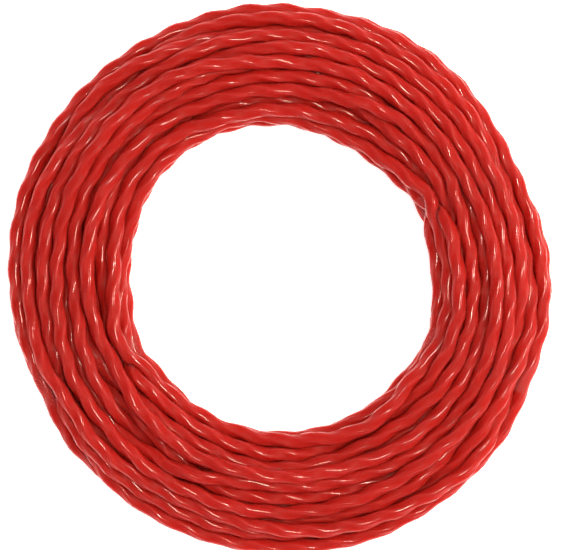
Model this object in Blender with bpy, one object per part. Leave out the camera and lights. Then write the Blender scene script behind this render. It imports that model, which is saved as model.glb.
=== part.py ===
"""A hank of twisted nylon string, held in shape by three clear film ties.

The hank lies flat on z = 0. Its axis is +Z and the origin is at the middle of its underside.
All sizes are in metres.
"""

import math

import bmesh
import bpy
from mathutils import Vector

# Driving dimensions of the wound bundle
OUTER_RADIUS = 0.057
INNER_RADIUS = 0.0315
BUNDLE_HEIGHT = 0.016
CORNER_RADIUS = 0.007  # rounding of the bundle's cross-section

# Driving dimensions of the ties, and where each one sits round the hank
TIE_WIDTH = 0.005
TIE_THICKNESS = 0.0003
TIE_GAP = 0.0003
WAIST_DEPTH = 0.001  # how far a tie squeezes the bundle in on every side
TIE_DEGREES = {"film_tie_upper_right": 26.0, "film_tie_lower_right": -21.0, "film_tie_left": 204.5}

# Widths of the squeezed stretch, as angles round the hank
WAIST_FLAT = math.radians(5.0)
WAIST_END = math.radians(13.0)

# Mesh steps
RING_STEPS = 96
CORNER_STEPS = 6

STRING_COLOUR = (0.60, 0.021, 0.019, 1.0)
FILM_COLOUR = (0.92, 0.92, 0.92, 1.0)

MIDDLE_RADIUS = (OUTER_RADIUS + INNER_RADIUS) / 2
HALF_WIDTH = (OUTER_RADIUS - INNER_RADIUS) / 2
HALF_HEIGHT = BUNDLE_HEIGHT / 2


def clear_scene():
    for old in list(bpy.data.objects):
        bpy.data.objects.remove(old, do_unlink=True)


def section_outline(inset):
    """The bundle's rounded cross-section as (out, up) from its middle, moved in by inset."""
    corner = CORNER_RADIUS - inset
    across = HALF_WIDTH - CORNER_RADIUS
    up = HALF_HEIGHT - CORNER_RADIUS
    outline = []
    for quarter, (side, top) in enumerate(((1, 1), (-1, 1), (-1, -1), (1, -1))):
        for step in range(CORNER_STEPS + 1):
            turn = math.radians(90) * (quarter + step / CORNER_STEPS)
            out_part = side * across + corner * math.cos(turn)
            up_part = top * up + corner * math.sin(turn)
            outline.append((out_part, up_part))
    return outline


def on_ring(angle, outline):
    """The outline's points in space, at this angle round the hank's axis."""
    points = []
    for out_part, up_part in outline:
        radius = MIDDLE_RADIUS + out_part
        points.append(Vector((radius * math.cos(angle), radius * math.sin(angle), HALF_HEIGHT + up_part)))
    return points


def waist(angle):
    """How far the bundle is squeezed in at this angle: full under a tie, none away from it."""
    depth = 0.0
    for degrees in TIE_DEGREES.values():
        away = abs(math.remainder(angle - math.radians(degrees), math.tau))
        share = min(max((WAIST_END - away) / (WAIST_END - WAIST_FLAT), 0.0), 1.0)
        depth = max(depth, WAIST_DEPTH * share * share * (3 - 2 * share))
    return depth


def closed_ring(name, loops, material):
    """One closed body from equal loops of points, each joined to the next and the last to the first."""
    bm = bmesh.new()
    rows = [[bm.verts.new(point) for point in loop] for loop in loops]
    for row, after in zip(rows, rows[1:] + rows[:1]):
        for i in range(len(row)):
            j = (i + 1) % len(row)
            bm.faces.new((row[i], row[j], after[j], after[i]))
    bmesh.ops.recalc_face_normals(bm, faces=bm.faces)
    mesh = bpy.data.meshes.new(name)
    bm.to_mesh(mesh)
    bm.free()
    mesh.shade_smooth()
    mesh.set_sharp_from_angle(angle=math.radians(40))
    mesh.materials.append(material)
    piece = bpy.data.objects.new(name, mesh)
    bpy.context.scene.collection.objects.link(piece)
    return piece


def plain_material(name, colour, roughness, metallic):
    material = bpy.data.materials.new(name)
    material.use_nodes = True
    shader = material.node_tree.nodes["Principled BSDF"]
    shader.inputs["Base Color"].default_value = colour
    shader.inputs["Roughness"].default_value = roughness
    shader.inputs["Metallic"].default_value = metallic
    return material


def make_string_coil():
    """The space that all the turns of the one string fill."""
    loops = []
    for step in range(RING_STEPS):
        angle = math.tau * step / RING_STEPS
        loops.append(on_ring(angle, section_outline(waist(angle))))
    return closed_ring("string_coil", loops, plain_material("red_nylon", STRING_COLOUR, 0.28, 0.0))


def make_film_tie(name, degrees, material):
    """A band of film round the bundle, in its waist and clear of the surface the hank lies on."""
    half_turn = TIE_WIDTH / 2 / MIDDLE_RADIUS
    middle = math.radians(degrees)
    inside = section_outline(WAIST_DEPTH - TIE_GAP)
    outside = section_outline(WAIST_DEPTH - TIE_GAP - TIE_THICKNESS)
    path = []
    for outline, shares in ((inside, (-1, 0, 1)), (outside, (1, 0, -1))):
        for share in shares:
            path.append(on_ring(middle + share * half_turn, outline))
    loops = [[row[i] for row in path] for i in range(len(inside))]
    return closed_ring(name, loops, material)


def main():
    clear_scene()
    make_string_coil()
    film = plain_material("clear_film", FILM_COLOUR, 0.12, 0.0)
    for name, degrees in TIE_DEGREES.items():
        make_film_tie(name, degrees, film)


main()
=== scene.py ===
"""A hank of red twisted nylon string with three clear film ties, on a pale floor.

The string is one continuous length. Its turns are packed by a small simulation: they start in layers,
as they are wound, and then push each other apart inside the space that the CAD coil holds.
"""

import math

import bmesh
import bpy
import numpy as np
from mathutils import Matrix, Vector


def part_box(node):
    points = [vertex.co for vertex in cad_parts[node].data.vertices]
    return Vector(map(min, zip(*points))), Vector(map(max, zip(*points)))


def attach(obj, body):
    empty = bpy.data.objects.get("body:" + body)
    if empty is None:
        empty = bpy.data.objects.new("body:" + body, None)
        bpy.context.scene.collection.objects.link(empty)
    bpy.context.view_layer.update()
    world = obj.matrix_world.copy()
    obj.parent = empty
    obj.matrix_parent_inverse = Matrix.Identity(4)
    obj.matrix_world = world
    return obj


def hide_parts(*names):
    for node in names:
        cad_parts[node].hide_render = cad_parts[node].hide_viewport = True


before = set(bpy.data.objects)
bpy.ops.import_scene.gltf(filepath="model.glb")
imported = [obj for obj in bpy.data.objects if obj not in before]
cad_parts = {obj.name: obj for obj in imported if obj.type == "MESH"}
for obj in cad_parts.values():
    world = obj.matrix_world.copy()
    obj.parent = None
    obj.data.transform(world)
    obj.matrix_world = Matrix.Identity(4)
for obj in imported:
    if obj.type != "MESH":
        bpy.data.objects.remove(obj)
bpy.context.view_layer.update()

# The string, in metres
STRING_DIAMETER = 0.003
CORNER_REACH = 0.00157  # from the middle of its rounded-square section to a corner
CORNER_ROUNDING = 0.0009
CORNER_SWEEP = math.radians(44)  # each way from the middle of a corner
TWIST_PITCH = 0.032  # one full twist
RIPPLE = 0.00018  # how far its twisted corners, riding on each other, push it sideways to and fro
RISE = 0.00002  # and up and down
RIPPLE_DRIFT = 0.37  # the length of string in which the ripple slips once against the corners
RING_SPACING = 0.0013  # between the rings of its mesh

# How it is wound
LAYERS = (4, 4, 5, 5, 5, 4, 4, 3, 2)  # turns in each layer, from the inside out
TURNS = sum(LAYERS)
TURN_SPACING = 0.00292  # between the middles of neighbouring turns
STATIONS = 180  # packing points in each turn
STEP_ODDS = (0.3, 0.2, 0.5)  # how often a turn steps over to its next slot at each tie
STEP_SCATTER = 0.012  # how far from the tie, as a share of a turn
STEP_WIDTHS = (0.04, 0.12)  # the shortest and longest step, as shares of a turn
KNOTS = 7  # places in each turn where it wanders to one side or another
WANDER = (0.0021, 0.0011)  # how far, out and up
STEP_PASSES, WANDER_PASSES, EASING = 12, 40, 0.45  # how these steps and wanderings are smoothed
SECTION_CORNER = 0.007  # rounding of the bundle's section, as in the CAD coil
WAIST_DEPTH = 0.001  # how far a tie squeezes the bundle in, as in the CAD coil
WAIST_FLAT, WAIST_END = math.radians(5), math.radians(13)

# How it is packed
PACK_SEED = 7
PACK_ROUNDS = 300
SAG = 0.00001  # how far a turn sinks in each round
GATHER = (0.0006, 0.0010)  # the share of its way to the bundle's middle that it moves, across and up
PUSH = 0.30  # the share of an overlap that each of the two turns gives way
HOLD = 0.5  # the share of what lies past the bundle's section that is pushed back in
STIFF_PASSES, STIFFNESS = 2, 0.30  # how much the string straightens itself in each round
FINAL_PASSES = 4

# The ties
TIES = ("film_tie_upper_right", "film_tie_lower_right", "film_tie_left")
FILM_THICKNESS = 0.00006
FILM_GAP = 0.00002  # between the string and the film
FILM_START = -2.4  # where on the bundle's section a tie starts, in radians from straight out
FILM_LAP = 1.1  # how far round the bundle, in radians, its end overlaps its start
LAP_RISE = 0.3  # how far before its start, in radians, it begins to rise over it
LAP_HEIGHT = 1.3 * FILM_THICKNESS
FILM_STATIONS, FILM_ROWS = 150, 9  # mesh points round the bundle, and across the film


def coil_shape():
    """The coil solid's outer radius, inner radius and height."""
    points = [v.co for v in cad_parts["string_coil"].data.vertices]
    radii = [math.hypot(p.x, p.y) for p in points]
    heights = [p.z for p in points]
    return max(radii), min(radii), max(heights) - min(heights)


OUTER_RADIUS, INNER_RADIUS, COIL_HEIGHT = coil_shape()
MIDDLE_RADIUS = (OUTER_RADIUS + INNER_RADIUS) / 2
HALF_WIDTH = (OUTER_RADIUS - INNER_RADIUS) / 2
HALF_HEIGHT = COIL_HEIGHT / 2


def tie_angle(name):
    low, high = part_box(name)
    return math.atan2(low[1] + high[1], low[0] + high[0])


TIE_ANGLES = [tie_angle(name) for name in TIES]
START_ANGLE = tie_angle("film_tie_lower_right") + math.radians(6)  # both ends lie just past this tie


# ---------------------------------------------------------------- camera

VIEW_WIDTH = 0.1200  # what the picture's width spans at the hank's mid-height
CAMERA_PLACE = (0.0018, 0.0007, 0.9)


def make_camera():
    data = bpy.data.cameras.new("camera")
    data.sensor_width = 36.0
    data.lens = data.sensor_width * (CAMERA_PLACE[2] - HALF_HEIGHT) / VIEW_WIDTH
    data.clip_start = 0.01
    camera = bpy.data.objects.new("camera", data)
    camera.location = CAMERA_PLACE
    bpy.context.scene.collection.objects.link(camera)
    bpy.context.scene.camera = camera


# ---------------------------------------------------------------- the string's course


def smooth_step(share):
    share = np.clip(share, 0.0, 1.0)
    return share * share * (3 - 2 * share)


def away_from(angles, centre):
    return np.abs((angles - centre + np.pi) % (2 * np.pi) - np.pi)


def tie_pinch(angles):
    """1 under a tie, falling to 0 on both sides of it."""
    pinch = np.zeros_like(angles)
    for tie in TIE_ANGLES:
        share = (WAIST_END - away_from(angles, tie)) / (WAIST_END - WAIST_FLAT)
        pinch = np.maximum(pinch, smooth_step(share))
    return pinch


def layer_slots():
    """Where each turn lies in the bundle's section, as (out, up) from its middle, layer by layer."""
    slots = []
    for number, count in enumerate(LAYERS):
        out = (number / (len(LAYERS) - 1) - 0.5) * (2 * HALF_WIDTH - STRING_DIAMETER)
        ups = [(i - (count - 1) / 2) * TURN_SPACING for i in range(count)]
        for up in ups if number % 2 == 0 else reversed(ups):
            slots.append((out, up))
    return np.array(slots)


def smooth_along(line, passes, share):
    """Moves each point of the course this share of the way to the middle of its two neighbours."""
    for _ in range(passes):
        line[1:-1] += share * (0.5 * (line[:-2] + line[2:]) - line[1:-1])


def first_course(rng):
    """The string laid from slot to slot, with some wander, before its turns push on each other.

    A turn steps over to its next slot at one of the ties.
    """
    slots = layer_slots()
    count = TURNS * STATIONS
    steps = np.arange(count) / STATIONS
    line = np.repeat(slots[:1], count, axis=0)
    for turn in range(TURNS - 1):
        tie = rng.choice(3, p=STEP_ODDS)
        part = (TIE_ANGLES[tie] - START_ANGLE) % (2 * np.pi) / (2 * np.pi) + rng.normal(0, STEP_SCATTER)
        width = rng.uniform(*STEP_WIDTHS)
        share = smooth_step((steps - turn - part) / width + 0.5)[:, None]
        line += share * (slots[turn + 1] - slots[turn])
    smooth_along(line, STEP_PASSES, EASING)
    knots = KNOTS * TURNS
    wander = rng.normal(0, 1, (knots, 2)) * WANDER
    drift = np.empty_like(line)
    for axis in (0, 1):
        drift[:, axis] = np.interp(steps * STATIONS, np.linspace(0, count - 1, knots), wander[:, axis])
    smooth_along(drift, WANDER_PASSES, EASING)
    return line + drift


def pack_turns(line):
    """Pushes turns that lie in each other apart, inside the bundle's rounded section."""
    angles = START_ANGLE + 2 * np.pi * np.arange(STATIONS) / STATIONS
    squeeze = WAIST_DEPTH * tie_pinch(angles)
    corner = SECTION_CORNER - STRING_DIAMETER / 2
    wide = HALF_WIDTH - STRING_DIAMETER / 2 - squeeze - corner
    high = HALF_HEIGHT - STRING_DIAMETER / 2 - squeeze - corner
    own = np.broadcast_to(np.eye(TURNS, dtype=bool)[:, :, None], (TURNS, TURNS, STATIONS))
    for _ in range(PACK_ROUNDS):
        turns = line.reshape(TURNS, STATIONS, 2)
        turns[..., 1] -= SAG
        turns -= turns * GATHER
        apart = turns[:, None] - turns[None, :]
        distance = np.sqrt((apart**2).sum(-1)) + 1e-9
        distance[own] = 1.0
        overlap = np.clip(TURN_SPACING - distance, 0, None)
        turns += PUSH * (apart * (overlap / distance)[..., None]).sum(1)
        beyond = np.clip(np.abs(turns) - np.stack((wide, high), -1), 0, None)
        reach = np.sqrt((beyond**2).sum(-1)) + 1e-12
        over = np.clip(reach - corner, 0, None) / reach
        turns -= HOLD * np.sign(turns) * beyond * over[..., None]
        smooth_along(line, STIFF_PASSES, STIFFNESS)


def hump(angles, degrees, half_width, height):
    """A smooth rise of this height at one angle, gone half_width degrees to either side."""
    away = away_from(angles, math.radians(degrees))
    return height * smooth_step(1 - away / math.radians(half_width))


def out_of_round(angles):
    """How far the hand-wound ring's middle line, and its half width, differ from a true ring's."""
    middle = 0.0006 * np.cos(2 * (angles + math.radians(55)))
    middle += hump(angles, 24, 40, -0.0006)
    half = hump(angles, 26, 22, -0.0004) + hump(angles, 125, 35, -0.0006)
    half += hump(angles, 65, 30, 0.0007) + hump(angles, 175, 30, 0.0004) + hump(angles, -45, 50, 0.0003)
    return middle, half


def string_course():
    """Each point's angle, radius and height, at STATIONS points in each turn."""
    line = first_course(np.random.default_rng(PACK_SEED))
    pack_turns(line)
    lift = HALF_HEIGHT - CORNER_REACH - RISE
    line[:, 1] = np.clip(line[:, 1], -lift, lift)
    smooth_along(line, FINAL_PASSES, STIFFNESS)
    angles = START_ANGLE + 2 * np.pi * np.arange(len(line)) / STATIONS
    middle, half = out_of_round(angles)
    radius = MIDDLE_RADIUS + middle + line[:, 0] * (1 + half / HALF_WIDTH)
    return np.stack((angles, radius, HALF_HEIGHT + line[:, 1]), -1)


def in_space(course):
    angle, radius, height = course.T
    return np.stack((radius * np.cos(angle), radius * np.sin(angle), height), -1)


# ---------------------------------------------------------------- the string's mesh


def section_profile():
    """Points of the rounded square (out, down), with the way the surface faces at each, in radians."""
    reach = CORNER_REACH - CORNER_ROUNDING
    points = []
    facing = []
    for corner in range(4):
        middle = math.pi / 2 * corner
        for side in (-1, 0, 1):
            at = middle + side * CORNER_SWEEP
            points.append((
                reach * math.cos(middle) + CORNER_ROUNDING * math.cos(at),
                reach * math.sin(middle) + CORNER_ROUNDING * math.sin(at),
            ))
            facing.append(at)
    return np.array(points), np.array(facing)


def lengths_along(points):
    return np.concatenate(([0.0], np.cumsum(np.linalg.norm(np.diff(points, axis=0), axis=1))))


def resample(points, spacing):
    """Evenly spaced points on the smooth line through points, and how far along each one is."""
    along = lengths_along(points)
    wanted = np.linspace(0, along[-1], int(round(along[-1] / spacing)) + 1)
    k = np.clip(np.searchsorted(along, wanted, side="right") - 1, 0, len(points) - 2)
    f = ((wanted - along[k]) / (along[k + 1] - along[k]))[:, None]
    p0, p1 = points[np.maximum(k - 1, 0)], points[k]
    p2, p3 = points[k + 1], points[np.minimum(k + 2, len(points) - 1)]
    slope1, slope2 = (p2 - p0) / 2, (p3 - p1) / 2
    f2, f3 = f * f, f * f * f
    line = (2 * f3 - 3 * f2 + 1) * p1 + (f3 - 2 * f2 + f) * slope1
    line += (3 * f2 - 2 * f3) * p2 + (f3 - f2) * slope2
    return line, wanted


def unit(vectors):
    return vectors / np.linalg.norm(vectors, axis=-1, keepdims=True)


def frames(centres):
    """Unit vectors along the line, out of the ring and down, at each of its points."""
    tangent = unit(np.gradient(centres, axis=0))
    outward = centres * (1, 1, 0)
    outward = unit(outward - tangent * (outward * tangent).sum(1, keepdims=True))
    return tangent, outward, np.cross(tangent, outward)


def twisted_surface(points):
    """Rings of points round the twisted string, with the way its surface faces at each of them."""
    centres, along = resample(points, RING_SPACING)
    twist = 2 * np.pi * along / TWIST_PITCH
    drift = 2 * np.pi * along / RIPPLE_DRIFT
    tangent, outward, downward = frames(centres)
    centres = centres + RIPPLE * np.sin(4 * twist + drift)[:, None] * outward
    centres = centres + RISE * np.cos(4 * twist - drift)[:, None] * downward
    tangent, outward, downward = (axis[:, None] for axis in frames(centres))
    profile, facing = section_profile()
    cos, sin = np.cos(twist)[:, None], np.sin(twist)[:, None]
    x = (profile[:, 0] * cos - profile[:, 1] * sin)[..., None]
    y = (profile[:, 0] * sin + profile[:, 1] * cos)[..., None]
    rings = centres[:, None] + outward * x + downward * y
    out = np.cos(twist[:, None] + facing)[..., None]
    down = np.sin(twist[:, None] + facing)[..., None]
    lean = (down * x - out * y) * 2 * np.pi / TWIST_PITCH
    return centres, along, rings, unit(outward * out + downward * down - tangent * lean)


def make_string(points, material):
    """The string with flat cut ends. Its UV map says how far along and how far round it each point is."""
    centres, along, rings, normals = twisted_surface(points)
    count, sides = rings.shape[:2]
    ring = np.repeat(np.arange(count - 1), sides)
    side = np.tile(np.arange(sides), count - 1)
    a = ring * sides + side
    b = ring * sides + (side + 1) % sides
    quads = np.stack((a, b, b + sides, a + sides), -1)
    ends = [list(range(sides))[::-1], list(range((count - 1) * sides, count * sides))]
    mesh = bpy.data.meshes.new("string")
    mesh.from_pydata(rings.reshape(-1, 3).tolist(), [], quads.tolist() + ends)
    here, there = along[ring], along[ring + 1]
    u = np.stack((here, here, there, there), -1)
    v = np.stack((side, side + 1, side + 1, side), -1) / sides
    uv = np.zeros((len(mesh.loops), 2))
    uv[: u.size] = np.stack((u.ravel(), v.ravel()), -1)
    mesh.uv_layers.new(name="string").data.foreach_set("uv", uv.ravel())
    mesh.shade_smooth()
    facing = normals.reshape(-1, 3)[quads.ravel()]
    cut_ends = np.repeat((centres[0] - centres[1], centres[-1] - centres[-2]), sides, axis=0)
    mesh.normals_split_custom_set(np.concatenate((facing, unit(cut_ends))).tolist())
    mesh.materials.append(material)
    piece = bpy.data.objects.new("string", mesh)
    bpy.context.scene.collection.objects.link(piece)
    return piece, centres


# ---------------------------------------------------------------- the ties


def turns_at(course, angle):
    """Where the turns cross this angle, as (radius, height)."""
    place = (angle - START_ANGLE) % (2 * np.pi) / (2 * np.pi) * STATIONS
    first = np.arange(TURNS) * STATIONS + int(place)
    after = np.minimum(first + 1, len(course) - 1)
    share = place - int(place)
    return course[first, 1:] * (1 - share) + course[after, 1:] * share


def film_row(course, angle, around):
    """Inside and outside edge of taut film at this angle of the ring, at these angles of its section."""
    crossings = turns_at(course, angle)
    directions = np.stack((np.cos(around), np.sin(around)), -1)
    reach = (crossings @ directions.T).max(0) + CORNER_REACH
    slope = np.gradient(reach, around)
    lap = LAP_HEIGHT * smooth_step((around - around[0] - 2 * np.pi + LAP_RISE) / LAP_RISE)
    sideways = np.stack((-directions[:, 1], directions[:, 0]), -1) * slope[:, None]
    rows = []
    for offset in (FILM_GAP, FILM_GAP + FILM_THICKNESS):
        section = directions * (reach + lap + offset)[:, None] + sideways
        rows.append(in_space(np.column_stack((np.full(len(around), angle), section))))
    return rows


def make_film(name, course, material):
    """A strip of film wrapped tight round the turns, its end lapped over its start underneath."""
    middle = tie_angle(name)
    points = [v.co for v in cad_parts[name].data.vertices]
    half = max(abs(math.remainder(math.atan2(p.y, p.x) - middle, 2 * math.pi)) for p in points)
    around = np.linspace(FILM_START, FILM_START + 2 * np.pi + FILM_LAP, FILM_STATIONS)
    rows = [film_row(course, middle + half * part, around) for part in np.linspace(-1, 1, FILM_ROWS)]
    loop = [row[0] for row in rows] + [row[1] for row in reversed(rows)]
    verts = np.stack(loop, 1)
    steps, sides = verts.shape[:2]
    faces = []
    for i in range(steps - 1):
        for j in range(sides):
            k = (j + 1) % sides
            faces.append((i * sides + j, i * sides + k, (i + 1) * sides + k, (i + 1) * sides + j))
    for i in (0, steps - 1):
        for j in range(FILM_ROWS - 1):
            a, b = i * sides + j, i * sides + sides - 1 - j
            faces.append((a, b, b - 1, a + 1))
    mesh = bpy.data.meshes.new(name + "_film")
    mesh.from_pydata(verts.reshape(-1, 3).tolist(), [], faces)
    bm = bmesh.new()
    bm.from_mesh(mesh)
    bmesh.ops.recalc_face_normals(bm, faces=bm.faces)
    bm.to_mesh(mesh)
    bm.free()
    mesh.shade_smooth()
    mesh.set_sharp_from_angle(angle=math.radians(50))
    mesh.materials.append(material)
    film = bpy.data.objects.new(name + "_film", mesh)
    bpy.context.scene.collection.objects.link(film)
    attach(film, "root")
    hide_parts(name)


# ---------------------------------------------------------------- materials

NYLON_DEEP = (0.43, 0.0131, 0.0098, 1)
NYLON_BRIGHT = (0.50, 0.0159, 0.0121, 1)
NYLON_RUBBED = (0.70, 0.060, 0.045, 1)

RANGE = ("From Min", "From Max", "To Min", "To Max")


class Tree:
    """Short ways to add nodes to a new material."""

    def __init__(self, name):
        self.material = bpy.data.materials.new(name)
        self.material.use_nodes = True
        self.nodes = self.material.node_tree.nodes
        self.links = self.material.node_tree.links
        self.shader = self.nodes["Principled BSDF"]

    def put(self, value, socket):
        if isinstance(value, bpy.types.NodeSocket):
            self.links.new(value, socket)
        else:
            socket.default_value = value

    def set(self, **values):
        for name, value in values.items():
            self.put(value, self.shader.inputs[name.replace("_", " ")])

    def maths(self, operation, *values):
        node = self.nodes.new("ShaderNodeMath")
        node.operation = operation
        for value, socket in zip(values, node.inputs):
            self.put(value, socket)
        return node.outputs[0]

    def noise(self, vector, scale, detail=2.0, roughness=0.5):
        node = self.nodes.new("ShaderNodeTexNoise")
        self.put(vector, node.inputs["Vector"])
        node.inputs["Scale"].default_value = scale
        node.inputs["Detail"].default_value = detail
        node.inputs["Roughness"].default_value = roughness
        return node.outputs["Fac"]

    def spread(self, value, low, high, to_low, to_high):
        node = self.nodes.new("ShaderNodeMapRange")
        self.put(value, node.inputs["Value"])
        for name, number in zip(RANGE, (low, high, to_low, to_high)):
            node.inputs[name].default_value = number
        return node.outputs["Result"]

    def blend(self, share, first, second):
        node = self.nodes.new("ShaderNodeMix")
        node.data_type = "RGBA"
        self.put(share, node.inputs["Factor"])
        self.put(first, node.inputs["A"])
        self.put(second, node.inputs["B"])
        return node.outputs["Result"]

    def bump(self, height, distance, normal=None):
        node = self.nodes.new("ShaderNodeBump")
        self.put(height, node.inputs["Height"])
        node.inputs["Distance"].default_value = distance
        node.inputs["Strength"].default_value = 1.0
        if normal is not None:
            self.put(normal, node.inputs["Normal"])
        return node.outputs["Normal"]

    def stretched(self, vector, scale):
        node = self.nodes.new("ShaderNodeMapping")
        self.put(vector, node.inputs["Vector"])
        node.inputs["Scale"].default_value = scale
        return node.outputs["Vector"]


def nylon_material():
    """Extruded nylon: dull faces, glossy corners, die lines, cloudy colour and paler rubbed spots."""
    tree = Tree("red_nylon")
    place = tree.nodes.new("ShaderNodeTexCoord").outputs["Object"]
    laid = tree.nodes.new("ShaderNodeUVMap")
    laid.uv_map = "string"
    parts = tree.nodes.new("ShaderNodeSeparateXYZ")
    tree.put(laid.outputs["UV"], parts.inputs["Vector"])
    lines = tree.noise(tree.stretched(laid.outputs["UV"], (9.0, 26.0, 1.0)), 1.0, 3.0, 0.6)
    clouds = tree.noise(place, 90.0, 3.0)
    grain = tree.noise(place, 2600.0, 2.0)
    lengthways = tree.noise(tree.stretched(laid.outputs["UV"], (14.0, 0.0, 0.0)), 1.0, 2.0)

    # 0 on a corner of the section, rising to 1/2 in the middle of a face
    quarter = tree.maths("FRACT", tree.maths("MULTIPLY", parts.outputs["Y"], 4.0))
    corner = tree.maths("ABSOLUTE", tree.maths("SUBTRACT", quarter, 1 / 3))
    rubbed = tree.spread(corner, 0.05, 0.3, 1.0, 0.0)
    patches = tree.spread(tree.noise(place, 260.0, 4.0, 0.65), 0.52, 0.68, 0.0, 1.0)
    wear = tree.maths("MULTIPLY", rubbed, patches)

    tone = tree.maths("ADD", tree.maths("MULTIPLY", clouds, 0.6), tree.maths("MULTIPLY", lengthways, 0.4))
    colour = tree.blend(tree.spread(tone, 0.35, 0.65, 0.0, 1.0), NYLON_DEEP, NYLON_BRIGHT)
    colour = tree.blend(tree.maths("MULTIPLY", wear, 0.35), colour, NYLON_RUBBED)
    dull = tree.maths("ADD", tree.spread(lines, 0.3, 0.7, 0.38, 0.52), tree.maths("MULTIPLY", wear, 0.1))
    glossy = tree.spread(corner, 0.18, 0.34, 1.0, 0.0)
    polish = tree.maths("SUBTRACT", glossy, tree.maths("MULTIPLY", wear, 0.25))
    surface = tree.bump(lines, 0.00001)
    surface = tree.bump(grain, 0.000004, normal=surface)
    tree.set(Base_Color=colour, Roughness=dull, Normal=surface)
    tree.set(Coat_Weight=polish, Coat_Roughness=0.07, Coat_IOR=1.35)
    tree.set(IOR=1.53, Specular_IOR_Level=0.08)
    tree.set(Subsurface_Weight=1.0, Subsurface_Radius=(1.0, 0.35, 0.28), Subsurface_Scale=0.0035)
    return tree.material


def film_material():
    """Thin clear film: what lies behind shows through, under a faint haze and a thin gloss."""
    tree = Tree("clear_film")
    output = tree.nodes["Material Output"]
    place = tree.nodes.new("ShaderNodeTexCoord").outputs["Object"]
    wrinkle = tree.noise(place, 420.0, 3.0)
    tree.set(Base_Color=(0.5, 0.5, 0.5, 1), Normal=tree.bump(wrinkle, 0.00003))
    tree.set(Roughness=tree.spread(wrinkle, 0.3, 0.7, 0.06, 0.16), Specular_IOR_Level=0.5)
    clear = tree.nodes.new("ShaderNodeBsdfTransparent")
    facing = tree.nodes.new("ShaderNodeLayerWeight")
    facing.inputs["Blend"].default_value = 0.25
    mix = tree.nodes.new("ShaderNodeMixShader")
    share = tree.spread(facing.outputs["Fresnel"], 0.02, 1.0, 0.0015, 0.03)
    tree.put(share, mix.inputs["Fac"])
    tree.links.new(clear.outputs[0], mix.inputs[1])
    tree.links.new(tree.shader.outputs[0], mix.inputs[2])
    tree.links.new(mix.outputs[0], output.inputs["Surface"])
    return tree.material


def floor_material():
    """White that glows a little, so that the floor is as white round the hank as in the photo."""
    tree = Tree("floor")
    tree.set(Base_Color=(0.96, 0.96, 0.96, 1), Roughness=0.9)
    tree.set(Emission_Color=(1, 1, 1, 1), Emission_Strength=0.8)
    return tree.material


# ---------------------------------------------------------------- stage and light

FLOOR_REACH = 3.0
WALLS = 0.75  # brightness of the surroundings low down
CEILING = 0.15  # and high up
CEILING_EDGE = (0.5, 0.85)  # how high up it starts to dim, and where it is as dim as it gets
WARM_WHITE = (1.0, 0.95, 0.76)


def make_stage():
    mesh = bpy.data.meshes.new("floor")
    corners = [(FLOOR_REACH * x, FLOOR_REACH * y, 0) for x, y in ((-1, -1), (1, -1), (1, 1), (-1, 1))]
    mesh.from_pydata(corners, [], [(0, 1, 2, 3)])
    mesh.materials.append(floor_material())
    floor = bpy.data.objects.new("floor", mesh)
    bpy.context.scene.collection.objects.link(floor)


def make_surroundings():
    """Pale walls all round under a dimmer ceiling, so that the string's glossy corners stay clear."""
    world = bpy.data.worlds.new("studio")
    world.use_nodes = True
    nodes, links = world.node_tree.nodes, world.node_tree.links
    split = nodes.new("ShaderNodeSeparateXYZ")
    links.new(nodes.new("ShaderNodeTexCoord").outputs["Generated"], split.inputs["Vector"])
    ceiling = nodes.new("ShaderNodeMapRange")
    ceiling.interpolation_type = "SMOOTHSTEP"
    links.new(split.outputs["Z"], ceiling.inputs["Value"])
    for name, value in zip(RANGE, (*CEILING_EDGE, WALLS, CEILING)):
        ceiling.inputs[name].default_value = value
    links.new(ceiling.outputs["Result"], nodes["Background"].inputs["Strength"])
    nodes["Background"].inputs["Color"].default_value = (1, 1, 1, 1)
    bpy.context.scene.world = world


def softbox(name, place, width, height, power):
    """A bright panel that faces the hank. The string's corners mirror it as short dashes."""
    data = bpy.data.lights.new(name, "AREA")
    data.shape = "RECTANGLE"
    data.size = width
    data.size_y = height
    data.energy = power
    data.color = WARM_WHITE
    light = bpy.data.objects.new(name, data)
    light.location = place
    light.rotation_euler = Vector(place).to_track_quat("Z", "Y").to_euler()
    bpy.context.scene.collection.objects.link(light)


make_camera()
red = nylon_material()
course = string_course()
string, centres = make_string(in_space(course), red)
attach(string, "root")
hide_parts("string_coil")
clear = film_material()
for name in TIES:
    make_film(name, course, clear)
make_stage()
make_surroundings()
softbox("key", place=(0.16, 0.07, 1.2), width=0.20, height=0.20, power=8.2)
softbox("strip", place=(1.0, 0.05, 0.8), width=0.20, height=0.10, power=7.0)
bpy.context.scene.view_settings.view_transform = "Standard"
